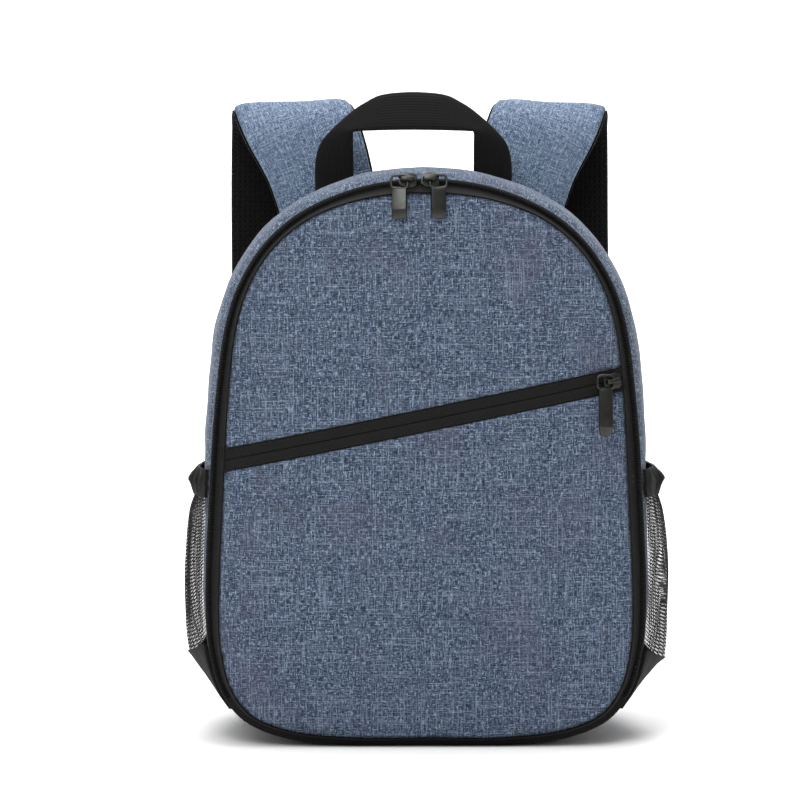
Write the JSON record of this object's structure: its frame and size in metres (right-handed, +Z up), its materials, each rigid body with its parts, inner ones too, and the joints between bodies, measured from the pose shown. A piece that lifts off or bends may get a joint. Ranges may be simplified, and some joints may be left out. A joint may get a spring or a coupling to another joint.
{
  "type": "camera backpack",
  "caption": "Small padded camera backpack with a zip-round front flap, a slanted pocket zip, net side pockets, a carry handle and padded dividers.",
  "frame": {"origin": "middle of the flat base that the bag stands on", "axes": "+Z up, -Y out of the zipped front, +X to the right as seen from the front"},
  "size_m": [0.2734, 0.1872, 0.3664],
  "materials": {
    "denim_cloth": "heather slate-blue polyester, padded",
    "strap_cloth": "heather slate-blue polyester, padded",
    "trim_cloth": "black woven trim",
    "air_mesh": "black spacer mesh",
    "nylon_webbing": "black ribbed webbing",
    "zip_tape": "black zip tape and teeth",
    "net": "black open net",
    "lining": "grey padded lining",
    "gunmetal": "satin gunmetal",
    "buckle_plastic": "black acetal"
  },
  "bodies": {
    "bag": {"gusset": "denim_cloth", "base_panel": "trim_cloth", "back_panel": "air_mesh", "flap_pad": "lining", "front_upper": "denim_cloth", "front_lower": "denim_cloth", "zip_band": "zip_tape", "zip_teeth": "zip_tape", "pocket_zip_tape": "zip_tape", "divider_right": "lining", "divider_left": "lining", "shelf_top_right": "lining", "shelf_top_left": "lining", "shelf_side_right": "lining", "shelf_side_left": "lining", "shelf_middle_low": "lining", "shelf_middle_high": "lining", "flap_inner_pocket": "net", "side_net_right": "net", "side_net_left": "net", "side_hem_right": "trim_cloth", "side_hem_left": "trim_cloth", "side_floor_right": "trim_cloth", "side_floor_left": "trim_cloth", "carry_handle": "nylon_webbing", "strap_pad_right": "strap_cloth", "strap_pad_left": "strap_cloth", "strap_lining_right": "air_mesh", "strap_lining_left": "air_mesh", "ladder_lock_right": "buckle_plastic", "ladder_lock_left": "buckle_plastic", "webbing_right": "nylon_webbing", "webbing_left": "nylon_webbing", "strap_tab_right": "nylon_webbing", "strap_tab_left": "nylon_webbing", "main_slider_left": "gunmetal", "main_slider_right": "gunmetal", "pocket_slider": "gunmetal"},
    "main_left_pull": {"main_pull_left": "gunmetal"},
    "main_right_pull": {"main_pull_right": "gunmetal"},
    "pocket_pull": {"pocket_pull": "gunmetal"}
  },
  "joints": [
    {"name": "main_left_pull_swing", "type": "hinge", "parent": "bag", "child": "main_left_pull", "pos_m": [-0.01003, -0.05348, 0.31291], "axis": [0, 0.2588, 0.9659], "range_deg": [0, 110]},
    {"name": "main_right_pull_swing", "type": "hinge", "parent": "bag", "child": "main_right_pull", "pos_m": [0.00222, -0.05347, 0.31324], "axis": [0, 0.2588, 0.9659], "range_deg": [-110, 0]},
    {"name": "pocket_pull_swing", "type": "hinge", "parent": "bag", "child": "pocket_pull", "pos_m": [0.10245, -0.06091, 0.20262], "axis": [0, 0.0934, 0.9956], "range_deg": [0, 150]}
  ]
}
